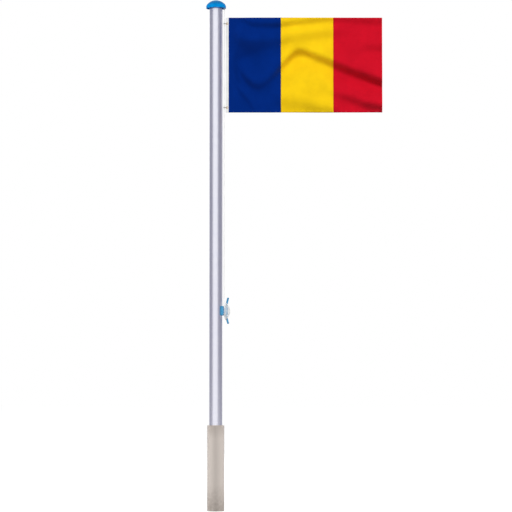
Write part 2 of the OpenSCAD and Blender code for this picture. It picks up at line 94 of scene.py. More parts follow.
def blank_material(name):
    """A new material with one Principled shader: the material, its tree and the shader."""
    material = bpy.data.materials.new(name)
    material.use_nodes = True
    tree = material.node_tree
    tree.nodes.clear()
    shader = add(tree, "ShaderNodeBsdfPrincipled")
    add(tree, "ShaderNodeOutputMaterial", {"Surface": shader.outputs["BSDF"]})
    return material, tree, shader


# --- Properties ----------------------------------------------------------------------------


def metres(name, description, default, low, high):
    """A length in metres that the panel shows."""
    return FloatProperty(
        name=name, description=description, default=default, min=low, max=high, unit="LENGTH")


def tint(name, description, code):
    """A colour that the panel shows, from its sRGB hex code."""
    return FloatVectorProperty(
        name=name, description=description, default=linear(code), size=4, min=0, max=1,
        subtype="COLOR")


class FlagpoleSizes(bpy.types.PropertyGroup):
    """Sizes of the pieces that are added to the frame"""

    rope_diameter: metres(
        "Rope diameter", "Diameter of the three-strand halyard", 0.007, 0.004, 0.0072)
    rope_lay: metres(
        "Rope lay", "Length of one full turn of the rope's strands", 0.022, 0.012, 0.05)
    twine_diameter: metres(
        "Twine diameter", "Diameter of the twine of the bindings", 0.003, 0.001, 0.003)
    cloth_thickness: metres(
        "Cloth thickness", "Thickness of the flag's cloth", 0.0008, 0.0004, 0.002)
    hem_width: metres(
        "Hem width", "Width of the turned hem round the flag", 0.014, 0.006, 0.03)
    fold_depth: FloatProperty(
        name="Fold depth", description="Depth of the cloth's folds, as a factor",
        default=1.0, min=0.0, max=1.5, subtype="FACTOR")
    stitch_pitch: metres(
        "Stitch pitch", "Distance from stitch to stitch in the seams", 0.007, 0.003, 0.02)
    screw_head: metres(
        "Screw head", "Diameter of the heads of the cleat's screws", 0.0105, 0.006, 0.014)
    rope_sides: IntProperty(
        name="Strand sides", description="Number of sides of a strand's section",
        default=7, min=5, max=12)


class FlagpoleColours(bpy.types.PropertyGroup):
    """Colours of the finishes"""

    pole: tint("Pole", "Anodised aluminium of the pole", "#f1f1ff")
    sleeve: tint("Sleeve", "Plastic of the ground sleeve and its collar", "#d0c6be")
    moulded_blue: tint("Cap", "Moulded plastic of the cap", "#0085cf")
    cleat: tint("Cleat", "Moulded plastic of the cleat, chalked by the sun", "#4b97c4")
    rope: tint("Rope", "Polyester of the halyard and its bindings", "#fcfcfb")
    steel: tint("Steel", "Steel of the hooks, the pin and the screws", "#7d8081")
    brass: tint("Brass", "Brass of the grommets", "#d3b27c")
    heading: tint("Heading", "Canvas of the flag's heading", "#efefee")
    blue: tint("Blue stripe", "Cloth of the stripe at the hoist", "#02297c")
    yellow: tint("Yellow stripe", "Cloth of the middle stripe", "#fdd017")
    red: tint("Red stripe", "Cloth of the stripe at the fly", "#cf1228")


def sizes():
    return bpy.context.scene.flagpole_sizes


def colours():
    return bpy.context.scene.flagpole_colours


# --- Materials -----------------------------------------------------------------------------


def anodised_tube():
    """Anodised aluminium, drawn: fine lines along the tube that spread its highlights sideways."""
    material, tree, shader = blank_material("anodised_aluminium_drawn")
    colour = list(colours().pole)
    place = add(tree, "ShaderNodeTexCoord").outputs["Object"]
    # Draw lines about 1.5 mm apart and 0.4 m long; the real ones are finer than the render shows
    lines = add(tree, "ShaderNodeMapping", {"Vector": place, "Scale": (650, 650, 2.5)})
    drawn = add(tree, "ShaderNodeTexNoise", {
        "Vector": lines.outputs["Vector"], "Scale": 1.0, "Detail": 4.0, "Roughness": 0.6})
    # Weathered patches about 60 mm across
    patch = add(tree, "ShaderNodeTexNoise", {
        "Vector": place, "Scale": 16.0, "Detail": 5.0, "Roughness": 0.65})
    both = add(tree, "ShaderNodeMath", {
        0: drawn.outputs["Fac"], 1: patch.outputs["Fac"]}, operation="MULTIPLY")
    tone = add(tree, "ShaderNodeValToRGB", {"Fac": both.outputs[0]}, stops=(
        (0.1, shaded(colour, 0.97)), (0.4, shaded(colour, 1.05))))
    rough = add(tree, "ShaderNodeMapRange", {
        "Value": both.outputs[0], "From Min": 0.1, "From Max": 0.45,
        "To Min": 0.37, "To Max": 0.33})
    bump = add(tree, "ShaderNodeBump", {
        "Strength": 0.12, "Distance": 0.0002, "Height": drawn.outputs["Fac"]})
    feed(tree, shader, {
        "Base Color": tone.outputs["Color"], "Metallic": 1.0,
        "Roughness": rough.outputs["Result"], "Normal": bump.outputs["Normal"]})
    return material


def sleeve_pipe():
    """Rigid extruded PVC: satin, fine die lines, darker blots at the foot, painted shade under the
    collar.
    """
    material, tree, shader = blank_material("pvc_pipe_extruded")
    colour = list(colours().sleeve)
    place = add(tree, "ShaderNodeTexCoord").outputs["Object"]
    height = add(tree, "ShaderNodeSeparateXYZ", {"Vector": place}).outputs["Z"]
    # Darker blots about 40 mm across, which thin out 0.3 m above the foot
    blots = add(tree, "ShaderNodeTexNoise", {
        "Vector": place, "Scale": 24.0, "Detail": 7.0, "Roughness": 0.7})
    low = add(tree, "ShaderNodeMapRange", {
        "Value": height, "From Min": 0.0, "From Max": 0.34, "To Min": 0.62, "To Max": 0.0},
        interpolation_type="SMOOTHSTEP")
    foot_darkening = add(tree, "ShaderNodeMath", {
        0: low.outputs["Result"], 1: blots.outputs["Fac"]}, operation="MULTIPLY")
    # Painted shade under the collar's edge, broken into streaks about 12 mm wide
    shade_streak_stretch = add(tree, "ShaderNodeMapping", {"Vector": place, "Scale": (80, 80, 3)})
    streak = add(tree, "ShaderNodeTexNoise", {
        "Vector": shade_streak_stretch.outputs["Vector"], "Scale": 1.0, "Detail": 4.0, "Roughness": 0.6})
    high = add(tree, "ShaderNodeMapRange", {
        "Value": height, "From Min": 0.62, "From Max": 0.8, "To Min": 0.0, "To Max": 0.42},
        interpolation_type="SMOOTHSTEP")
    painted_collar_shade = add(tree, "ShaderNodeMath", {
        0: high.outputs["Result"], 1: streak.outputs["Fac"]}, operation="MULTIPLY")
    # The darkening at the foot and the painted shade under the collar, together
    darkening = add(tree, "ShaderNodeMath", {
        0: foot_darkening.outputs[0], 1: painted_collar_shade.outputs[0]}, operation="ADD").outputs[0]
    tone = add(tree, "ShaderNodeValToRGB", {"Fac": darkening}, stops=(
        (0.05, colour), (0.62, linear("#857a71"))))
    rough = add(tree, "ShaderNodeMapRange", {
        "Value": darkening, "From Min": 0.0, "From Max": 0.5, "To Min": 0.36, "To Max": 0.7})
    # Die lines about 2 mm apart
    die = add(tree, "ShaderNodeMapping", {"Vector": place, "Scale": (500, 500, 1.5)})
    lines = add(tree, "ShaderNodeTexNoise", {
        "Vector": die.outputs["Vector"], "Scale": 1.0, "Detail": 2.0})
    bump = add(tree, "ShaderNodeBump", {
        "Strength": 0.1, "Distance": 0.0003, "Height": lines.outputs["Fac"]})
    feed(tree, shader, {
        "Base Color": tone.outputs["Color"], "Roughness": rough.outputs["Result"], "IOR": 1.53,
        "Normal": bump.outputs["Normal"]})
    return material


def moulded_plastic(name, colour, roughness):
    """Injection-moulded plastic: eroded grain, sun-faded patches, scuffs, painted shade on top
    faces.
    """
    material, tree, shader = blank_material(name)
    place = add(tree, "ShaderNodeTexCoord").outputs["Object"]
    # Sun-faded patches about 50 mm across
    fade = add(tree, "ShaderNodeTexNoise", {
        "Vector": place, "Scale": 20.0, "Detail": 5.0, "Roughness": 0.6})
    tone = add(tree, "ShaderNodeValToRGB", {"Fac": fade.outputs["Fac"]}, stops=(
        (0.3, shaded(colour, 0.9)), (0.7, shaded(colour, 1.08))))
    # Painted shade: the faces that look up are darkened
    facing = add(tree, "ShaderNodeSeparateXYZ", {
        "Vector": add(tree, "ShaderNodeNewGeometry").outputs["Normal"]})
    painted_top_shade = add(tree, "ShaderNodeMapRange", {
        "Value": facing.outputs["Z"], "From Min": 0.15, "From Max": 0.85,
        "To Min": 0.0, "To Max": 1.0},
        interpolation_type="SMOOTHSTEP")
    # A colour mix has its colours at inputs 6 and 7 and its result at output 2
    top_shaded_tone = add(tree, "ShaderNodeMix", {
        0: painted_top_shade.outputs["Result"], 6: tone.outputs["Color"], 7: shaded(colour, 0.7)},
        data_type="RGBA")
    # Pale scuffs of rope and hands, about 2 mm wide and 30 mm long
    slanted = add(tree, "ShaderNodeMapping", {
        "Vector": place, "Rotation": (0.4, 0.25, 0.0), "Scale": (450, 450, 33)})
    scuff = add(tree, "ShaderNodeTexNoise", {
        "Vector": slanted.outputs["Vector"], "Scale": 1.0, "Detail": 3.0, "Roughness": 0.7})
    rubbed = add(tree, "ShaderNodeMapRange", {
        "Value": scuff.outputs["Fac"], "From Min": 0.57, "From Max": 0.74,
        "To Min": 0.0, "To Max": 0.6})
    worn = add(tree, "ShaderNodeMix", {
        0: rubbed.outputs["Result"], 6: top_shaded_tone.outputs[2], 7: shaded(colour, 1.7)}, data_type="RGBA")
    # Eroded grain of 0.9 mm, coarser than the real 0.1 mm so that it shows
    grain = add(tree, "ShaderNodeTexNoise", {
        "Vector": place, "Scale": 1100.0, "Detail": 2.0, "Roughness": 0.5})
    rough = add(tree, "ShaderNodeMapRange", {
        "Value": grain.outputs["Fac"], "From Min": 0.3, "From Max": 0.7,
        "To Min": roughness - 0.05, "To Max": roughness + 0.07})
    bump = add(tree, "ShaderNodeBump", {
        "Strength": 0.15, "Distance": 0.0002, "Height": grain.outputs["Fac"]})
    feed(tree, shader, {
        "Base Color": worn.outputs[2], "Roughness": rough.outputs["Result"], "IOR": 1.52,
        "Specular IOR Level": 0.1, "Normal": bump.outputs["Normal"]})
    return material


def spun_fibre():
    """Laid polyester: matt white strands of fine twisted fibres, greyer where they are handled."""
    material, tree, shader = blank_material("polyester_fibre_laid")
    colour = list(colours().rope)
    along = add(tree, "ShaderNodeAttribute", attribute_name="strand_along").outputs["Fac"]
    around = add(tree, "ShaderNodeAttribute", attribute_name="strand_around").outputs["Fac"]
    # Yarns: eight round a strand, one turn in 14 mm
    turn = add(tree, "ShaderNodeMath", {0: along, 1: 1 / 0.014}, operation="MULTIPLY")
    angle = add(tree, "ShaderNodeMath", {0: around, 1: turn.outputs[0]}, operation="SUBTRACT")
    phase = add(tree, "ShaderNodeMath", {
        0: angle.outputs[0], 1: 8 * 2 * math.pi}, operation="MULTIPLY")
    yarn = add(tree, "ShaderNodeMath", {0: phase.outputs[0]}, operation="COSINE")
    # Handled and weathered lengths of about 80 mm
    wear = add(tree, "ShaderNodeTexNoise", {
        "Vector": add(tree, "ShaderNodeTexCoord").outputs["Object"],
        "Scale": 12.0, "Detail": 5.0, "Roughness": 0.6})
    tone = add(tree, "ShaderNodeValToRGB", {"Fac": wear.outputs["Fac"]}, stops=(
        (0.3, shaded(colour, 0.93)), (0.55, colour)))
    bump = add(tree, "ShaderNodeBump", {
        "Strength": 0.5, "Distance": 0.0002, "Height": yarn.outputs[0]})
    feed(tree, shader, {
        "Base Color": tone.outputs["Color"], "Roughness": 0.85, "Sheen Weight": 0.5,
        "Sheen Roughness": 0.5, "Normal": bump.outputs["Normal"]})
    return material


def spotted_metal(name, colour, dull, scale, detail, edges, smooth):
    """A metal with duller, rougher spots: scale sets their size, edges where they start and end."""
    material, tree, shader = blank_material(name)
    spots = add(tree, "ShaderNodeTexNoise", {
        "Vector": add(tree, "ShaderNodeTexCoord").outputs["Object"],
        "Scale": scale, "Detail": detail[0], "Roughness": detail[1]})
    tone = add(tree, "ShaderNodeValToRGB", {"Fac": spots.outputs["Fac"]}, stops=(
        (edges[0], dull), (edges[1], colour)))
    rough = add(tree, "ShaderNodeMapRange", {
        "Value": spots.outputs["Fac"], "From Min": 0.3, "From Max": 0.7,
        "To Min": 0.5, "To Max": smooth})
    feed(tree, shader, {
        "Base Color": tone.outputs["Color"], "Metallic": 1.0, "Roughness": rough.outputs["Result"]})
    return material


def plated_steel():
    """Zinc-plated steel, tumbled: satin grey with faint dull spots of about 4 mm."""
    colour = list(colours().steel)
    return spotted_metal(
        "steel_zinc_plated", colour, shaded(colour, 0.72), scale=250.0, detail=(4.0, 0.6),
        edges=(0.35, 0.6), smooth=0.3)


def rolled_brass():
    """Rolled brass: warm satin metal with brown tarnish in patches of about 5 mm."""
    return spotted_metal(
        "brass_rolled", list(colours().brass), linear("#8a6a3e"), scale=200.0, detail=(5.0, 0.65),
        edges=(0.32, 0.55), smooth=0.28)


def woven_cloth(name, colour, thread):
    """Woven polyester: warp and weft threads with a soft sheen, read from the cloth's flat UV."""
    material, tree, shader = blank_material(name)
    flat = add(tree, "ShaderNodeUVMap", uv_map="flat").outputs["UV"]
    sides = add(tree, "ShaderNodeSeparateXYZ", {"Vector": flat})
    # Thread spacing in metres; flag cloth is finer, and is drawn coarser so that it shows
    waves = []
    for side in ("X", "Y"):
        phase = add(tree, "ShaderNodeMath", {
            0: sides.outputs[side], 1: 2 * math.pi / thread}, operation="MULTIPLY")
        wave = add(tree, "ShaderNodeMath", {0: phase.outputs[0]}, operation="SINE")
        waves.append(wave.outputs[0])
    weave = add(tree, "ShaderNodeMath", {
        0: waves[0], 1: waves[1]}, operation="MULTIPLY").outputs[0]
    # Uneven dye in soft clouds of about 120 mm
    cloud = add(tree, "ShaderNodeTexNoise", {
        "Vector": flat, "Scale": 8.0, "Detail": 4.0, "Roughness": 0.55})
    dyed = add(tree, "ShaderNodeMath", {
        0: weave, 1: 0.06, 2: cloud.outputs["Fac"]}, operation="MULTIPLY_ADD")
    tone = add(tree, "ShaderNodeValToRGB", {"Fac": dyed.outputs[0]}, stops=(
        (0.3, shaded(colour, 0.92)), (0.7, shaded(colour, 1.04))))
    bump = add(tree, "ShaderNodeBump", {"Strength": 0.25, "Distance": 0.0002, "Height": weave})
    feed(tree, shader, {
        "Base Color": tone.outputs["Color"], "Roughness": 0.75, "Specular IOR Level": 0.08,
        "Sheen Weight": 0.03, "Sheen Roughness": 0.4, "Normal": bump.outputs["Normal"]})
    return material


def sewing_thread(name, colour):
    """Sewing thread: bonded polyester, a little glossier than the cloth under it."""
    material, tree, shader = blank_material(name)
    # Twist of the thread, 1.5 mm
    twist = add(tree, "ShaderNodeTexNoise", {
        "Vector": add(tree, "ShaderNodeTexCoord").outputs["Object"], "Scale": 650.0, "Detail": 2.0})
    tone = add(tree, "ShaderNodeValToRGB", {"Fac": twist.outputs["Fac"]}, stops=(
        (0.3, shaded(colour, 0.75)), (0.7, shaded(colour, 1.05))))
    feed(tree, shader, {"Base Color": tone.outputs["Color"], "Roughness": 0.55})
    return material


# --- Shapes --------------------------------------------------------------------------------


def new_piece(name, mesh, material=None):
    """An object at the origin for a finished mesh."""
    piece = bpy.data.objects.new(name, mesh)
    bpy.context.scene.collection.objects.link(piece)
    if material is not None:
        mesh.materials.append(material)
    return piece


def path_mesh(name, paths):
    """A mesh of bare edges along one or more open paths of points."""
    points, edges = [], []
    for path in paths:
        first = len(points)
        points += [tuple(p) for p in path]
        edges += [(first + i, first + i + 1) for i in range(len(path) - 1)]
    mesh = bpy.data.meshes.new(name)
    mesh.from_pydata(points, edges, [])
    return mesh


def grow(name, mesh, tree, values, body):
    """Runs a Geometry Nodes tree on a mesh and keeps the result as a plain piece on a body."""
    source = new_piece(name + "_source", mesh)
    modifier = source.modifiers.new("grow", "NODES")
    modifier.node_group = tree
    for item in tree.interface.items_tree:
        if item.item_type == "SOCKET" and item.in_out == "INPUT" and item.name in values:
            modifier[item.identifier] = values[item.name]
    evaluated = source.evaluated_get(bpy.context.evaluated_depsgraph_get())
    made = bpy.data.meshes.new_from_object(evaluated)
    made.name = name
    source.modifiers.remove(modifier)
    bpy.data.objects.remove(source)
    piece = new_piece(name, made)
    if not made.polygons:
        raise RuntimeError(name + " came out empty")
    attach(piece, body)
    return piece


def new_tree(name, inputs):
    """A Geometry Nodes tree with named inputs: the tree and its input node."""
    tree = bpy.data.node_groups.new(name, "GeometryNodeTree")
    tree.interface.new_socket("Geometry", in_out="INPUT", socket_type="NodeSocketGeometry")
    for label, kind, default in inputs:
        socket = tree.interface.new_socket(label, in_out="INPUT", socket_type=kind)
        if default is not None:
            socket.default_value = default
    tree.interface.new_socket("Geometry", in_out="OUTPUT", socket_type="NodeSocketGeometry")
    return tree, add(tree, "NodeGroupInput")


def end_tree(tree, geometry, material):
    """Ends a tree with plain geometry in one material."""
    real = add(tree, "GeometryNodeRealizeInstances", {"Geometry": geometry})
    done = add(tree, "GeometryNodeSetMaterial", {
        "Geometry": real.outputs[0], "Material": material})
    add(tree, "NodeGroupOutput", {"Geometry": done.outputs[0]})


def sweep_strands(tree, curves, radius, given):
    """Sweeps a round section along curves, marks the way round it, and ends the tree."""
    ring = add(tree, "GeometryNodeCurvePrimitiveCircle", {
        "Resolution": given.outputs["Sides"], "Radius": radius}, mode="RADIUS")
    section = add(tree, "GeometryNodeStoreNamedAttribute", {
        "Geometry": ring.outputs["Curve"], "Name": "strand_around",
        "Value": add(tree, "GeometryNodeSplineParameter").outputs["Factor"]},
        data_type="FLOAT", domain="POINT")
    joined = add(tree, "GeometryNodeJoinGeometry")
    for curve in curves:
        tube = add(tree, "GeometryNodeCurveToMesh", {
            "Curve": curve, "Profile Curve": section.outputs["Geometry"], "Fill Caps": True})
        feed(tree, joined, {"Geometry": tube.outputs["Mesh"]})
    smooth = add(tree, "GeometryNodeSetShadeSmooth", {"Geometry": joined.outputs["Geometry"]})
    end_tree(tree, smooth.outputs[0], given.outputs["Material"])


def laid_rope_tree():
    """Three strands laid round a path, each a round section that turns once in a lay."""
    tree, given = new_tree("laid_rope", (
        ("Strands Offset", "NodeSocketFloat", 0.00175),
        ("Strand Radius", "NodeSocketFloat", 0.00175),
        ("Lay Length", "NodeSocketFloat", 0.022), ("Step", "NodeSocketFloat", 0.003),
        ("Sides", "NodeSocketInt", 7), ("Material", "NodeSocketMaterial", None)))
    path = add(tree, "GeometryNodeMeshToCurve", {"Mesh": given.outputs["Geometry"]})
    even = add(tree, "GeometryNodeResampleCurve", {
        "Curve": path.outputs["Curve"], "Length": given.outputs["Step"]}, mode="LENGTH")
    length = add(tree, "GeometryNodeSplineParameter").outputs["Length"]
    marked = add(tree, "GeometryNodeStoreNamedAttribute", {
        "Geometry": even.outputs["Curve"], "Name": "strand_along", "Value": length},
        data_type="FLOAT", domain="POINT")
    normal = add(tree, "GeometryNodeInputNormal").outputs["Normal"]
    tangent = add(tree, "GeometryNodeInputTangent").outputs["Tangent"]
    side = add(tree, "ShaderNodeVectorMath", {
        0: tangent, 1: normal}, operation="CROSS_PRODUCT").outputs[0]
    turns = add(tree, "ShaderNodeMath", {
        0: length, 1: given.outputs["Lay Length"]}, operation="DIVIDE")
    strands = []
    for third in range(3):
        angle = add(tree, "ShaderNodeMath", {
            0: turns.outputs[0], 1: 2 * math.pi, 2: third * 2 * math.pi / 3},
            operation="MULTIPLY_ADD")
        parts = []
        for wave, way in (("COSINE", normal), ("SINE", side)):
            share = add(tree, "ShaderNodeMath", {0: angle.outputs[0]}, operation=wave)
            reach = add(tree, "ShaderNodeMath", {
                0: share.outputs[0], 1: given.outputs["Strands Offset"]}, operation="MULTIPLY")
            parts.append(add(tree, "ShaderNodeVectorMath", {
                0: way, "Scale": reach.outputs[0]}, operation="SCALE").outputs[0])
        offset = add(tree, "ShaderNodeVectorMath", {0: parts[0], 1: parts[1]}, operation="ADD")
        strands.append(add(tree, "GeometryNodeSetPosition", {
            "Geometry": marked.outputs["Geometry"],
            "Offset": offset.outputs[0]}).outputs["Geometry"])
    sweep_strands(tree, strands, given.outputs["Strand Radius"], given)
    return tree


def twine_tree():
    """Round twine along a path."""
    tree, given = new_tree("twine", (
        ("Radius", "NodeSocketFloat", 0.0015), ("Sides", "NodeSocketInt", 8),
        ("Material", "NodeSocketMaterial", None)))
    path = add(tree, "GeometryNodeMeshToCurve", {"Mesh": given.outputs["Geometry"]})
    marked = add(tree, "GeometryNodeStoreNamedAttribute", {
        "Geometry": path.outputs["Curve"], "Name": "strand_along",
        "Value": add(tree, "GeometryNodeSplineParameter").outputs["Length"]},
        data_type="FLOAT", domain="POINT")
    sweep_strands(tree, [marked.outputs["Geometry"]], given.outputs["Radius"], given)
    return tree


def stitch_tree():
    """A row of lock stitches along a path: small bars, each along the path."""
    tree, given = new_tree("lock_stitches", (
        ("Pitch", "NodeSocketFloat", 0.007), ("Length", "NodeSocketFloat", 0.0052),
        ("Width", "NodeSocketFloat", 0.0011), ("Material", "NodeSocketMaterial", None)))
    path = add(tree, "GeometryNodeMeshToCurve", {"Mesh": given.outputs["Geometry"]})
    spots = add(tree, "GeometryNodeCurveToPoints", {
        "Curve": path.outputs["Curve"], "Length": given.outputs["Pitch"]}, mode="LENGTH")
    bead = add(tree, "GeometryNodeMeshIcoSphere", {"Radius": 0.5, "Subdivisions": 1})
    size = add(tree, "ShaderNodeCombineXYZ", {
        "X": given.outputs["Width"], "Y": given.outputs["Width"], "Z": given.outputs["Length"]})
    rows = add(tree, "GeometryNodeInstanceOnPoints", {
        "Points": spots.outputs["Points"], "Instance": bead.outputs["Mesh"],
        "Rotation": spots.outputs["Rotation"], "Scale": size.outputs["Vector"]})
    end_tree(tree, rows.outputs["Instances"], given.outputs["Material"])
    return tree


def turned(profile, centre, segments=32):
    """A solid turned about X; its profile of (along, radius) starts and ends at radius 0."""
    mesh = bmesh.new()
    rings = []
    for along, radius in profile:
        count = segments if radius > 0 else 1
        rings.append([mesh.verts.new((
            centre[0] + along,
            centre[1] + radius * math.cos(2 * math.pi * k / segments),
            centre[2] + radius * math.sin(2 * math.pi * k / segments))) for k in range(count)])
    for a, b in zip(rings, rings[1:]):
        for k in range(segments):
            j = (k + 1) % segments
            corners = []
            for v in (a[k % len(a)], a[j % len(a)], b[j % len(b)], b[k % len(b)]):
                if v not in corners:
                    corners.append(v)
            mesh.faces.new(corners)
    bmesh.ops.recalc_face_normals(mesh, faces=mesh.faces)
    return mesh


def joined_mesh(name, parts):
    """One mesh from several bmeshes."""
    whole = bmesh.new()
    for part in parts:
        held = bpy.data.meshes.new("part")
        part.to_mesh(held)
        part.free()
        whole.from_mesh(held)
        bpy.data.meshes.remove(held)
    mesh = bpy.data.meshes.new(name)
    whole.to_mesh(mesh)
    whole.free()
    return mesh


def dress(names, material):
    """Gives CAD nodes a material."""
    for name in names:
        node = NODES[name]
        if not node.material_slots:
            node.data.materials.append(material)
        for held in node.material_slots:
            held.material = material


# --- The rope's path, as in the part's source, in millimetres ------------------------------

HALYARD_X, PITCH, SHEAVE_Z, CLEAT_Z = 78.0, 13.0, 4737.0, 1871.0
HORN_X, HORN_R, HORN_BEND, HORN_GAP, ROPE_R = 97.5, 9.0, 393.4, 1.2, 3.5
ROWS = (46.0, 54.5, 63.0)  # heights behind a horn, from the cleat's middle: two turns, the eights
PASS_STEPS = (0.15, 0.3, 0.45, 0.6, 0.75, 0.88)
# Round turns: how far in from the horns, half height, half width, bend of the pass behind a horn,
# each for the first turn and as a step to the next one
TURN_IN, TURN_HALF, TURN_SIDE, TURN_BEND = (7.8, -8.1), (35, 9), (13.2, 0.6), (1, 0.2)
# Figure eights: rise of the rows in one, middle of the front crossing and its step, half width
EIGHT_RISE, EIGHT_FRONT, EIGHT_STACK, EIGHT_SIDE = 9.4, 112, 7.6, 22.8
LEAD_IN = (
    (78, -13, 96), (78, -13, 80), (78.2, -13.3, 60), (78.6, -14, 40), (79, -15, 20),
    (79.2, -15.3, 8), (79.5, -15.3, -9), (79.8, -14.8, -20), (80.2, -13, -29), (81.3, -10, -36),
    (83.4, -5.3, -42.5))
LEAD_OUT = (
    (82.5, 15.6, -52.8), (80.5, 15.6, -35.8), (80, 15.5, -15.8), (79.3, 15.3, 8),
    (79, 15, 20), (78.6, 14, 40), (78.2, 13.3, 60), (78, 13, 80), (78, 13, 96))


def behind_x(z):
    """Where the rope lies on the pole's side of a horn, at a height from the cleat's middle."""
    return HORN_X + HORN_BEND - math.sqrt(HORN_BEND ** 2 - z * z) - HORN_R - ROPE_R - HORN_GAP


def round_turn(k):
    """One turn up one side of the stem and down the other, behind both horns."""
    inward, half, side_y, bend = (
        first + step * k for first, step in (TURN_IN, TURN_HALF, TURN_SIDE, TURN_BEND))
    x = HORN_X - inward

    def passing(reach, side, up, steps):
        found = []
        for s in steps:
            a = math.radians(90 * s)
            found.append((x + (behind_x(reach) - x) * math.sin(a) ** bend,
                          side * side_y * math.cos(a), up * (half + (reach - half) * math.sin(a))))
        return found

    reach, back_steps = ROWS[k], PASS_STEPS[::-1]
    return ([(behind_x(reach), 0, -reach)] + passing(reach, 1, -1, back_steps)
            + [(x, side_y, half * i / 2) for i in (-2, -1, 0, 1, 2)]
            + passing(reach, 1, 1, PASS_STEPS)
            + [(behind_x(reach), 0, reach)] + passing(reach, -1, 1, back_steps)
            + [(x, -side_y, half * i / 2) for i in (2, 1, 0, -1, -2)]
            + passing(ROWS[k + 1], -1, -1, PASS_STEPS))


def eight_point(degrees):
    """A point of the figure eights over both horns; they stack outwards."""
    a = math.radians(degrees)
    reach = ROWS[2] + EIGHT_RISE * (degrees + 90) / 360
    back = behind_x(reach)
    front = EIGHT_FRONT + EIGHT_STACK * degrees / 180
    return (back + (front - back) * math.cos(a) ** 2, -EIGHT_SIDE * math.sin(2 * a),
            reach * math.sin(a))


def halyard_path():
    """The whole loop, from the top of the sheave down the front fall and up the rear one."""
    def bend(first, last):
        angles = [math.radians(a) for a in range(first, last, 10 if last > first else -10)]
        return [(HALYARD_X, PITCH * math.cos(a), SHEAVE_Z + PITCH * math.sin(a)) for a in angles]

    low = ROWS[2] + 2 * EIGHT_RISE
    back = behind_x(low)
    turns = list(LEAD_IN) + round_turn(0) + round_turn(1)
    turns += [eight_point(a) for a in range(-90, 631, 6)]
    # Out from behind the lower horn to the rear fall
    turns += [(back - 2, 6, 1 - low), (back - 6, 11, 6 - low), (back - 9.1, 14.3, 15 - low)]
    turns += list(LEAD_OUT)
    points = bend(90, 190) + [(x, y, CLEAT_Z + z) for x, y, z in turns] + bend(0, 100)
    return [Vector(p) * MM for p in points]


# --- The flag's cloth ----------------------------------------------------------------------

FLAG_Y, FLAG_TOP, FLAG_HEIGHT = -0.013, 4.639, 0.900
HEADING_X, HEADING_HALF = (0.0919, 0.1189), 0.001
STRIPES_X = {"blue": (0.1189, 0.6116), "yellow": (0.6116, 1.1068), "red": (1.1068, 1.5678)}
HEADING_WIDTH, FLAG_LENGTH = 0.027, 1.476
FLAT_STRIP = 0.12                   # the folds grow from nothing over this width at the heading
RIPPLE, RIPPLE_LENGTH = 0.008, 0.48
SAG, DRAW = 0.14, 0.05              # cloth that stands out hangs lower and is drawn in, per metre
STEP_ACROSS, STEP_DOWN = 0.010, 0.009
HEM_RISE, HEM_EDGE = 0.0009, 1.06   # a hem's extra half thickness, and where its step ends
HOLE_RADIUS, HOLE_SIDES = 0.0063, 32
SEAM_LIFT = 0.0011                  # stitches lie on the faces of the hem and the heading

# Folds: each is a line across the flag where the cloth turns back as it goes down. A point holds
# metres from the hoist, metres below the top edge, and the share of the fold's depth there.
FOLDS = (
    # depth, half width of the turn, reach of the fold, line
    (0.115, 0.048, 0.090, (
        (0.110, 0.000, 0.2), (0.168, 0.024, 0.5), (0.239, 0.059, 0.7), (0.356, 0.071, 0.8),
        (0.508, 0.067, 0.9), (0.614, 0.052, 1.0), (0.767, 0.036, 1.0), (1.001, 0.014, 0.8),
        (1.119, 0.014, 0.6), (1.248, 0.030, 0.5), (1.353, 0.040, 0.6), (1.480, 0.045, 0.7))),
    (0.112, 0.080, 0.180, (
        (0.050, 0.215, 0.3), (0.121, 0.232, 1.0), (0.239, 0.242, 1.0), (0.356, 0.244, 0.9),
        (0.466, 0.235, 0.85), (0.580, 0.210, 1.25), (0.743, 0.180, 1.45), (0.935, 0.155, 1.0),
        (1.150, 0.145, 0.35), (1.300, 0.140, 0.0))),
    (0.148, 0.050, 0.160, (
        (0.074, 0.445, 0.1), (0.121, 0.504, 0.3), (0.203, 0.599, 0.45), (0.286, 0.652, 0.5),
        (0.356, 0.635, 0.45), (0.415, 0.587, 0.45), (0.508, 0.481, 0.6), (0.591, 0.391, 0.9),
        (0.661, 0.337, 1.0), (0.708, 0.328, 1.0), (0.755, 0.334, 1.0), (0.884, 0.384, 1.0),
        (1.001, 0.435, 1.0), (1.119, 0.487, 1.05), (1.236, 0.532, 1.1), (1.353, 0.576, 1.2),
        (1.480, 0.625, 1.25))),
    (0.118, 0.085, 0.160, (
        (0.420, 0.795, 0.0), (0.520, 0.812, 0.5), (0.661, 0.828, 0.7), (0.767, 0.846, 0.85),
        (0.884, 0.868, 0.9), (1.001, 0.882, 0.9), (1.100, 0.895, 0.0))),
    (0.134, 0.055, 0.140, (
        (0.740, 0.630, 0.0), (0.802, 0.647, 0.1), (0.919, 0.682, 0.25), (1.036, 0.735, 0.4),
        (1.154, 0.764, 0.55), (1.271, 0.810, 0.8), (1.353, 0.836, 1.0), (1.480, 0.858, 1.15))),
    (0.030, 0.034, 0.090, (
        (0.039, 0.552, 0.6), (0.121, 0.682, 1.0), (0.215, 0.801, 1.0), (0.290, 0.905, 0.3))),
    (0.082, 0.055, 0.110, ((1.260, 0.310, 0.0), (1.353, 0.295, 0.6), (1.480, 0.290, 1.0))),
    (0.115, 0.090, 0.190, (
        (0.030, 0.345, 0.8), (0.100, 0.350, 1.0), (0.220, 0.345, 0.9), (0.330, 0.335, 0.5),
        (0.450, 0.320, 0.0))),
)


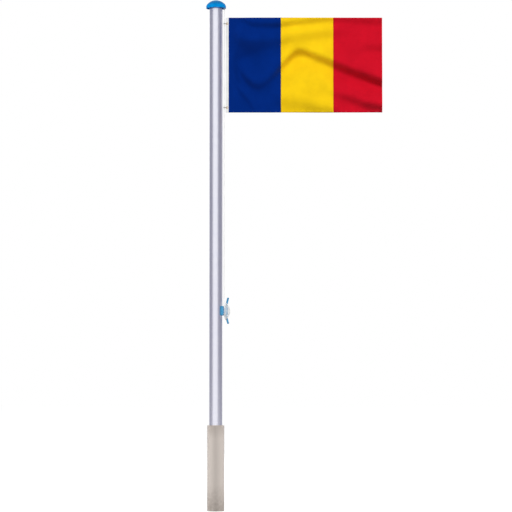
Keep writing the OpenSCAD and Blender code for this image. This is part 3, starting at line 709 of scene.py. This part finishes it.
def along_line(line, u):
    """The line's drop and share at a distance from the hoist, on a smooth curve."""
    if u <= line[0][0]:
        return line[0][1:]
    if u >= line[-1][0]:
        return line[-1][1:]
    i = max(k for k in range(len(line) - 1) if line[k][0] <= u)
    before, here = line[max(i - 1, 0)], line[i]
    there, after = line[i + 1], line[min(i + 2, len(line) - 1)]
    span = there[0] - here[0]
    t = (u - here[0]) / span
    found = []
    for axis in (1, 2):
        slope_in = (there[axis] - before[axis]) / max(1e-6, there[0] - before[0]) * span
        slope_out = (after[axis] - here[axis]) / max(1e-6, after[0] - here[0]) * span
        found.append(
            (2 * t ** 3 - 3 * t ** 2 + 1) * here[axis] + (t ** 3 - 2 * t ** 2 + t) * slope_in
            + (3 * t ** 2 - 2 * t ** 3) * there[axis] + (t ** 3 - t ** 2) * slope_out)
    return found


def cloth_rise(u, v):
    """How far the cloth stands out towards the viewer, u from the hoist and v below the top."""
    rise = -RIPPLE * math.sin(2 * math.pi * (u - HEADING_WIDTH) / RIPPLE_LENGTH)
    for depth, width, reach, line in FOLDS:
        drop, share = along_line(line, u)
        if share > 0:
            t = v - drop
            rise -= 0.5 * depth * share * math.tanh(t / width) * math.exp(-(t / reach) ** 2)
    near = min(1.0, max(0.0, (u - HEADING_WIDTH) / FLAT_STRIP))
    return sizes().fold_depth * rise * near * near * (3 - 2 * near)


def cloth_point(u, v):
    """A point of the cloth's middle surface."""
    rise = cloth_rise(u, v)
    return Vector((HEADING_X[0] + u - DRAW * rise * u / FLAG_LENGTH, FLAG_Y - rise,
                   FLAG_TOP - v - SAG * rise))


def cut_length(first, last):
    """The cloth's mean length from top to bottom, measured along its folds."""
    columns, rows = 8, 90
    total = 0.0
    for i in range(columns + 1):
        u = first + (last - first) * i / columns
        line = [cloth_point(u, FLAG_HEIGHT * k / rows) for k in range(rows + 1)]
        total += sum((b - a).length for a, b in zip(line, line[1:]))
    return total / (columns + 1)


def cloth_out(u, v, step=0.002):
    """The cloth's outward direction, towards the viewer."""
    across = cloth_point(u + step, v) - cloth_point(u - step, v)
    down = cloth_point(u, v + step) - cloth_point(u, v - step)
    return down.cross(across).normalized()


def graded(first, last, step, edges):
    """Even steps between two ends, with a closer pair of lines at each hem's edge."""
    count = max(2, round((last - first) / step))
    values = [first + (last - first) * k / count for k in range(count + 1)]
    for edge in edges:
        values = [x for x in values if abs(x - edge) > 0.3 * step or x in (first, last)]
        values.append(edge)
    return sorted(set(values))


def cloth_mesh(name, first, last, hems):
    """A stripe of the flag: front, back and edges, thicker where the hem is turned over."""
    hem, half = sizes().hem_width, sizes().cloth_thickness / 2
    u_lines = [first + hem * h for h in (1.0, HEM_EDGE)] * ("hoist" in hems) + [
        last - hem * h for h in (HEM_EDGE, 1.0)] * ("fly" in hems)
    v_lines = [hem, hem * HEM_EDGE, FLAG_HEIGHT - hem * HEM_EDGE, FLAG_HEIGHT - hem]
    us = graded(first, last, STEP_ACROSS, u_lines)
    vs = graded(0.0, FLAG_HEIGHT, STEP_DOWN, v_lines)
    inside = hem * 1.001  # a line on the hem's edge belongs to the hem

    def thickness(u, v):
        turned_over = v <= inside or v >= FLAG_HEIGHT - inside
        turned_over |= "hoist" in hems and u <= first + inside
        turned_over |= "fly" in hems and u >= last - inside
        return half + (HEM_RISE if turned_over else 0.0)

    mesh = bmesh.new()
    flat = mesh.loops.layers.uv.new("flat")
    sides = []
    for face in (1, -1):
        sides.append([[mesh.verts.new(cloth_point(u, v) + face * thickness(u, v) * cloth_out(u, v))
                       for v in vs] for u in us])
    where = {}
    for side in sides:
        for i, u in enumerate(us):
            for j, v in enumerate(vs):
                where[side[i][j]] = (u, v)
    front, back = sides
    for i in range(len(us) - 1):
        for j in range(len(vs) - 1):
            mesh.faces.new((front[i][j], front[i][j + 1], front[i + 1][j + 1], front[i + 1][j]))
            mesh.faces.new((back[i][j], back[i + 1][j], back[i + 1][j + 1], back[i][j + 1]))
    for i in range(len(us) - 1):
        mesh.faces.new((front[i][0], front[i + 1][0], back[i + 1][0], back[i][0]))
        mesh.faces.new((front[i + 1][-1], front[i][-1], back[i][-1], back[i + 1][-1]))
    for j in range(len(vs) - 1):
        mesh.faces.new((front[0][j + 1], front[0][j], back[0][j], back[0][j + 1]))
        mesh.faces.new((front[-1][j], front[-1][j + 1], back[-1][j + 1], back[-1][j]))
    for face in mesh.faces:
        face.smooth = True
        for loop in face.loops:
            loop[flat].uv = where[loop.vert]
    made = bpy.data.meshes.new(name)
    mesh.to_mesh(made)
    mesh.free()
    return made


def heading_mesh(name):
    """The heading: a flat band of doubled canvas with a round hole at each grommet."""
    x0, x1 = HEADING_X
    low, high = FLAG_TOP - FLAG_HEIGHT, FLAG_TOP
    rows = 60
    points = [Vector((x0, low + (high - low) * k / rows)) for k in range(rows + 1)]
    points += [Vector((x1, high - (high - low) * k / rows)) for k in range(rows + 1)]
    edges = [(k, (k + 1) % len(points)) for k in range(len(points))]
    holes = []
    for node in ("upper_grommet", "lower_grommet"):
        lowest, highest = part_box(node)
        x, z = (lowest[0] + highest[0]) / 2, (lowest[2] + highest[2]) / 2
        holes.append((x, z))
        first = len(points)
        for k in range(HOLE_SIDES):
            a = 2 * math.pi * k / HOLE_SIDES
            points.append(Vector((x + HOLE_RADIUS * math.cos(a), z + HOLE_RADIUS * math.sin(a))))
            edges.append((first + k, first + (k + 1) % HOLE_SIDES))
    found, _, faces, _, _, _ = delaunay_2d_cdt(points, edges, [], 1, 1e-7)
    kept = []
    for face in faces:
        middle = sum((found[i] for i in face), Vector((0, 0))) / len(face)
        if all(math.dist(middle, hole) > HOLE_RADIUS * 0.98 for hole in holes):
            kept.append(face)
    mesh = bmesh.new()
    flat = mesh.loops.layers.uv.new("flat")
    front = [mesh.verts.new((p[0], FLAG_Y - HEADING_HALF, p[1])) for p in found]
    back = [mesh.verts.new((p[0], FLAG_Y + HEADING_HALF, p[1])) for p in found]
    border = set()
    for face in kept:
        mesh.faces.new([front[i] for i in face])
        mesh.faces.new([back[i] for i in reversed(face)])
        border.update(zip(face, list(face[1:]) + [face[0]]))
    for a, b in sorted(border):
        if (b, a) not in border:
            mesh.faces.new((front[b], front[a], back[a], back[b]))
    bmesh.ops.delete(mesh, geom=[v for v in mesh.verts if not v.link_faces], context="VERTS")
    bmesh.ops.recalc_face_normals(mesh, faces=mesh.faces)
    for face in mesh.faces:
        for loop in face.loops:
            loop[flat].uv = (loop.vert.co.x, loop.vert.co.z)
    made = bpy.data.meshes.new(name)
    mesh.to_mesh(made)
    mesh.free()
    return made


def cloth_row(points, lift):
    """A row of points that lies on one face of the cloth."""
    return [cloth_point(u, v) + lift * cloth_out(u, v) for u, v in points]


# --- Operators -----------------------------------------------------------------------------


class FLAGPOLE_OT_stage(bpy.types.Operator):
    """Camera, floor, lights and the cards at the sides"""

    bl_idname = "flagpole.stage"
    bl_label = "Stage"

    def execute(self, context):
        scene = context.scene
        scene.view_settings.view_transform = "Standard"
        # A long lens far away, below the object's middle and tilted up a little
        camera = bpy.data.cameras.new("photo_camera")
        camera.lens, camera.sensor_width = 158.8, 36.0
        camera.clip_end = 200.0
        seen = bpy.data.objects.new("photo_camera", camera)
        seen.location = (0.377, -21.2, 1.30)
        seen.rotation_euler = (math.radians(90 + 2.933), 0, 0)
        scene.collection.objects.link(seen)
        scene.camera = seen

        # White to the camera and in reflections, and a soft fill for all else
        world = bpy.data.worlds.new("white_studio")
        world.use_nodes = True
        tree = world.node_tree
        tree.nodes.clear()
        rays = add(tree, "ShaderNodeLightPath").outputs
        looked = add(tree, "ShaderNodeMath", {
            0: rays["Is Camera Ray"], 1: rays["Is Glossy Ray"]}, operation="MAXIMUM")
        shown = add(tree, "ShaderNodeMath", {
            0: looked.outputs[0], 1: rays["Is Transmission Ray"]}, operation="MAXIMUM")
        soft = add(tree, "ShaderNodeBackground", {"Color": (1, 1, 1, 1), "Strength": 0.12})
        white = add(tree, "ShaderNodeBackground", {"Color": (1, 1, 1, 1), "Strength": 1.0})
        mixed = add(tree, "ShaderNodeMixShader", {
            0: shown.outputs[0], 1: soft.outputs[0], 2: white.outputs[0]})
        add(tree, "ShaderNodeOutputWorld", {"Surface": mixed.outputs[0]})
        scene.world = world

        # Floor: matt white paper that stays white to the camera and keeps a faint shadow
        paper, tree, shader = blank_material("studio_paper")
        rays = add(tree, "ShaderNodeLightPath").outputs
        mirrored = add(tree, "ShaderNodeMath", {
            0: rays["Is Glossy Ray"], 1: rays["Is Transmission Ray"]}, operation="MAXIMUM")
        dimmer = add(tree, "ShaderNodeMath", {
            0: mirrored.outputs[0], 1: 0.72}, operation="MULTIPLY")
        glow = add(tree, "ShaderNodeMath", {
            0: rays["Is Camera Ray"], 1: 0.98, 2: dimmer.outputs[0]}, operation="MULTIPLY_ADD")
        feed(tree, shader, {
            "Base Color": (0.2, 0.2, 0.2, 1), "Roughness": 1.0, "Specular IOR Level": 0.0,
            "Emission Color": (1, 1, 1, 1), "Emission Strength": glow.outputs[0]})
        wide = 60
        floor = bpy.data.meshes.new("floor")
        floor.from_pydata([(-wide, -wide, 0), (wide, -wide, 0), (wide, wide, 0), (-wide, wide, 0)],
                          [], [(0, 1, 2, 3)])
        new_piece("floor", floor, paper)

        # Grey cards beside the set give the metal its dark sides; only reflections see them
        card, tree, shader = blank_material("grey_card")
        feed(tree, shader, {
            "Base Color": (0, 0, 0, 1), "Specular IOR Level": 0.0,
            "Emission Color": (0.31, 0.31, 0.36, 1), "Emission Strength": 1.0})
        rear, low, high = 7.0, -1, 9
        for name, x, front in (("card_left", -5.0, -3.4), ("card_right", 5.0, -7.1)):
            mesh = bpy.data.meshes.new(name)
            mesh.from_pydata([(x, front, low), (x, rear, low), (x, rear, high), (x, front, high)],
                             [], [(0, 1, 2, 3)])
            made = new_piece(name, mesh, card)
            made.visible_camera = made.visible_diffuse = made.visible_shadow = False
            made.visible_transmission = made.visible_volume_scatter = False

        for name, place, aim, size, power in (
                ("key", (-0.6, -13.0, 10.5), (0.5, 0.0, 3.4), 3.0, 1800.0),
                ("side_left", (-9.0, 0.0, 2.5), (0.0, 0.0, 2.2), 4.0, 560.0),
                ("side_right", (9.0, 0.0, 2.5), (0.0, 0.0, 2.2), 4.0, 560.0),
                ("back", (1.5, 13.0, 7.5), (0.5, 0.0, 3.0), 4.0, 1100.0)):
            lamp = bpy.data.lights.new(name, "AREA")
            lamp.shape, lamp.size, lamp.energy = "SQUARE", size, power
            made = bpy.data.objects.new(name, lamp)
            made.location = place
            made.rotation_euler = (Vector(aim) - Vector(place)).to_track_quat("-Z", "Y").to_euler()
            made.visible_glossy = False
            scene.collection.objects.link(made)
        return {"FINISHED"}


class FLAGPOLE_OT_pole(bpy.types.Operator):
    """Anodised finish of the pole's sections"""

    bl_idname = "flagpole.pole"
    bl_label = "Pole"

    def execute(self, context):
        dress(["pole_section_%d" % k for k in (1, 2, 3, 4)], anodised_tube())
        return {"FINISHED"}


class FLAGPOLE_OT_sleeve(bpy.types.Operator):
    """Plastic of the ground sleeve and its collar"""

    bl_idname = "flagpole.sleeve"
    bl_label = "Ground sleeve"

    def execute(self, context):
        dress(["ground_sleeve", "sleeve_collar"], sleeve_pipe())
        return {"FINISHED"}


class FLAGPOLE_OT_cap(bpy.types.Operator):
    """Cap, sheave and pin at the top of the pole"""

    bl_idname = "flagpole.cap"
    bl_label = "Cap and sheave"

    def execute(self, context):
        dress(["top_cap"], moulded_plastic("abs_moulded_blue", list(colours().moulded_blue), 0.34))
        dress(["halyard_sheave"], moulded_plastic("nylon_moulded_white", linear("#e6e6e0"), 0.42))
        dress(["sheave_pin"], plated_steel())
        return {"FINISHED"}


class FLAGPOLE_OT_halyard(bpy.types.Operator):
    """Three-strand halyard, down one side, round the cleat and up again"""

    bl_idname = "flagpole.halyard"
    bl_label = "Halyard"

    def execute(self, context):
        quarter = sizes().rope_diameter / 4
        mesh = path_mesh("halyard_rope", [halyard_path()])
        rope = grow("halyard_rope", mesh, laid_rope_tree(), {
            "Strands Offset": quarter, "Strand Radius": quarter, "Lay Length": sizes().rope_lay,
            "Step": 0.003, "Sides": sizes().rope_sides, "Material": spun_fibre()}, "pole")
        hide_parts("halyard", "halyard_turns")
        return {"FINISHED"}


class FLAGPOLE_OT_cleat(bpy.types.Operator):
    """Cleat with its two screws"""

    bl_idname = "flagpole.cleat"
    bl_label = "Cleat"

    def execute(self, context):
        dress(["cleat"], moulded_plastic("abs_moulded_cleat", list(colours().cleat), 0.4))
        # Pan heads with a round recess, sunk 1 mm into the saddle
        radius = sizes().screw_head / 2
        rise = radius * 0.55
        profile = [(-0.001, 0.0), (-0.001, radius * 0.98), (0.0004, radius)]
        profile += [(rise * math.sin(a), radius * math.cos(a) ** 0.8)
                    for a in (math.radians(d) for d in (20, 38, 54, 66))]
        profile += [(rise * 0.93, radius * 0.38), (rise * 0.35, radius * 0.36), (rise * 0.3, 0.0)]
        saddle_x, apart = 0.0738, 0.0350
        parts = [turned(profile, (saddle_x, 0.0, CLEAT_Z * MM + side * apart)) for side in (-1, 1)]
        mesh = joined_mesh("cleat_screws", parts)
        mesh.shade_smooth()
        screws = new_piece("cleat_screws", mesh, plated_steel())
        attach(screws, "pole")
        return {"FINISHED"}


class FLAGPOLE_OT_bindings(bpy.types.Operator):
    """Twine bound round the halyard above and below each hook"""

    bl_idname = "flagpole.bindings"
    bl_label = "Rope bindings"

    def execute(self, context):
        tree, twine = twine_tree(), spun_fibre()
        radius = sizes().twine_diameter / 2
        for node in ("upper_bindings", "lower_bindings"):
            lowest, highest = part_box(node)
            centre = (lowest + highest) / 2
            coil = highest.x - centre.x - radius
            # A coil on each side of the hook's eye, which takes up the gap between them
            gap, lap_steps = 0.0022, 20
            start, end = gap + radius, (highest.z - centre.z) - radius
            laps = max(2, round((end - start) / (2 * radius)))
            steps = laps * lap_steps
            paths = []
            for side in (-1, 1):
                path = []
                for k in range(steps + 1):
                    a = 2 * math.pi * laps * k / steps
                    path.append((
                        centre.x + coil * math.cos(a), centre.y + coil * math.sin(a) * side,
                        centre.z + side * (start + (end - start) * k / steps)))
                paths.append(path)
            piece = grow(node + "_twine", path_mesh(node, paths), tree, {
                "Radius": radius, "Sides": 10, "Material": twine}, "halyard_bindings")
            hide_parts(node)
        return {"FINISHED"}


class FLAGPOLE_OT_hooks(bpy.types.Operator):
    """Snap hooks and grommets"""

    bl_idname = "flagpole.hooks"
    bl_label = "Hooks and grommets"

    def execute(self, context):
        dress(["upper_hook", "upper_hook_gate", "lower_hook", "lower_hook_gate"], plated_steel())
        dress(["upper_grommet", "lower_grommet"], rolled_brass())
        return {"FINISHED"}


class FLAGPOLE_OT_flag(bpy.types.Operator):
    """Flag: heading, three sewn stripes, hems and stitches"""

    bl_idname = "flagpole.flag"
    bl_label = "Flag"

    def execute(self, context):
        hem, half = sizes().hem_width, sizes().cloth_thickness / 2
        hues = colours()
        x0, x1 = HEADING_X
        canvas = woven_cloth("cotton_canvas_woven", list(hues.heading), thread=0.0024)
        mesh = heading_mesh("flag_heading_canvas")
        panels = {"heading": new_piece("flag_heading_canvas", mesh, canvas)}
        stripes = {name: [x - x0 for x in ends] for name, ends in STRIPES_X.items()}
        for name, hems in (("blue", ()), ("yellow", ("hoist",)), ("red", ("hoist", "fly"))):
            first, last = stripes[name]
            cloth = woven_cloth("polyester_woven_" + name, list(getattr(hues, name)), thread=0.0016)
            mesh = cloth_mesh("flag_" + name, first, last, hems)
            panels[name] = new_piece("flag_%s_cloth" % name, mesh, cloth)
            round(cut_length(first, last), 3)

        # Stripes: seams along the hems, on both faces; a seam's place is a share of the hem's width
        tree = stitch_tree()
        lift, inset, pitch = half + SEAM_LIFT, 0.003, sizes().stitch_pitch
        down = [k * FLAG_HEIGHT / 180 for k in range(1, 180)]
        for name, (first, last) in stripes.items():
            across = [first + inset + (last - first - 2 * inset) * k / 100 for k in range(101)]
            seams = [[(u, v) for u in across] for v in (hem * 0.78, FLAG_HEIGHT - hem * 0.78)]
            if name != "blue":
                seams += [[(first + hem * share, v) for v in down] for share in (0.2, 0.8)]
            if name == "red":
                seams += [[(last - hem * share, v) for v in down] for share in (0.3, 0.78)]
            rows = [cloth_row(seam, face * lift) for face in (1, -1) for seam in seams]
            thread = sewing_thread("thread_" + name, shaded(list(getattr(hues, name)), 0.85))
            grow("flag_%s_stitches" % name, path_mesh("rows", rows), tree, {
                "Pitch": pitch, "Length": pitch * 0.74, "Width": 0.0011,
                "Material": thread}, "flag")

        # Heading: seams along both its edges, and across it at its ends and beside the grommets
        low, inset = FLAG_TOP - FLAG_HEIGHT, 0.004
        rows = []
        for y in (FLAG_Y - SEAM_LIFT, FLAG_Y + SEAM_LIFT):
            for x in (x0 + 0.0022, x1 - 0.0045, x1 - 0.002):
                rows.append([(x, y, FLAG_TOP - inset), (x, y, low + inset)])
            for z in (FLAG_TOP - inset, FLAG_TOP - 0.092, low + inset, low + 0.082):
                rows.append([(x0 + 0.003, y, z), (x1 - 0.005, y, z)])
        thread = sewing_thread("thread_white", shaded(list(hues.heading), 0.8))
        grow("flag_heading_stitches", path_mesh("rows", rows), tree, {
            "Pitch": 0.005, "Length": 0.0037, "Width": 0.001, "Material": thread}, "flag")

        for name, piece in panels.items():
            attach(piece, "flag")
            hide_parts("flag_heading" if name == "heading" else "flag_%s_panel" % name)
        return {"FINISHED"}


OPERATORS = (
    FLAGPOLE_OT_stage, FLAGPOLE_OT_pole, FLAGPOLE_OT_sleeve, FLAGPOLE_OT_cap, FLAGPOLE_OT_halyard,
    FLAGPOLE_OT_cleat, FLAGPOLE_OT_bindings, FLAGPOLE_OT_hooks, FLAGPOLE_OT_flag)


class FLAGPOLE_PT_pieces(bpy.types.Panel):
    """Sizes, colours and pieces of the flagpole"""

    bl_idname = "FLAGPOLE_PT_pieces"
    bl_label = "Flagpole"
    bl_space_type = "VIEW_3D"
    bl_region_type = "UI"
    bl_category = "Flagpole"

    def draw(self, context):
        for group in (context.scene.flagpole_sizes, context.scene.flagpole_colours):
            column = self.layout.column(align=True)
            for name in group.__annotations__:
                column.prop(group, name)
        column = self.layout.column(align=True)
        for operator in OPERATORS:
            column.operator(operator.bl_idname)


CLASSES = (FlagpoleSizes, FlagpoleColours) + OPERATORS + (FLAGPOLE_PT_pieces,)


def register():
    for made in CLASSES:
        bpy.utils.register_class(made)
    bpy.types.Scene.flagpole_sizes = PointerProperty(type=FlagpoleSizes)
    bpy.types.Scene.flagpole_colours = PointerProperty(type=FlagpoleColours)


def unregister():
    del bpy.types.Scene.flagpole_colours
    del bpy.types.Scene.flagpole_sizes
    for made in reversed(CLASSES):
        bpy.utils.unregister_class(made)


def main():
    """Dresses the frame piece by piece."""
    register()
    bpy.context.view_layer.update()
    bpy.ops.flagpole.stage()
    bpy.ops.flagpole.halyard()
    bpy.ops.flagpole.pole()
    bpy.ops.flagpole.sleeve()
    bpy.ops.flagpole.cap()
    bpy.ops.flagpole.cleat()
    bpy.ops.flagpole.bindings()
    bpy.ops.flagpole.hooks()
    bpy.ops.flagpole.flag()


if __name__ == "__main__":
    main()
